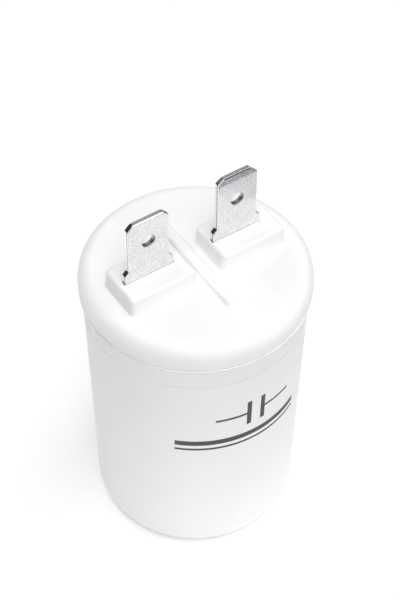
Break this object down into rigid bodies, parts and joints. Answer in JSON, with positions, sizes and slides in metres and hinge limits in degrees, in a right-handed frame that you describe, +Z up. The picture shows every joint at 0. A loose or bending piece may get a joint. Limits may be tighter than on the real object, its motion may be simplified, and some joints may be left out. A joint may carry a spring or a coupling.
{
  "type": "motor run capacitor",
  "caption": "Round motor run capacitor in a white plastic can: welded lid, raised bosses, ribbed middle, push-on tabs.",
  "frame": {"origin": "middle of the foot, on the surface that the can stands on", "axes": "+Z up the axis of the can towards the tabs; +X along the line of the two tabs, towards the taller one"},
  "size_m": [0.0324, 0.0324, 0.0598],
  "materials": {
    "can_moulding": "fine-grained white moulded plastic",
    "lid_moulding": "satin white moulded plastic",
    "tin_plate": "tin-plated brass strip, stamped",
    "core_plastic": "plain natural plastic",
    "metallised_film": "wound metallised polypropylene film",
    "clear_film": "plain polypropylene film, wrapped",
    "sprayed_zinc": "rough sprayed zinc",
    "tinned_copper": "tinned copper wire",
    "lead_insulation": "extruded insulation",
    "solder": "solidified solder",
    "potting_resin": "cast polyurethane resin"
  },
  "bodies": {
    "root": {"can": "can_moulding", "lid": "lid_moulding", "left_terminal": "tin_plate", "right_terminal": "tin_plate", "winding_core": "core_plastic", "film_winding": "metallised_film", "outer_wrap": "clear_film", "upper_end_spray": "sprayed_zinc", "lower_end_spray": "sprayed_zinc", "left_lead_wire": "tinned_copper", "right_lead_wire": "tinned_copper", "left_lead_insulation": "lead_insulation", "right_lead_insulation": "lead_insulation", "left_terminal_solder": "solder", "right_terminal_solder": "solder", "upper_spray_solder": "solder", "lower_spray_solder": "solder", "potting_resin": "potting_resin"}
  },
  "joints": []
}
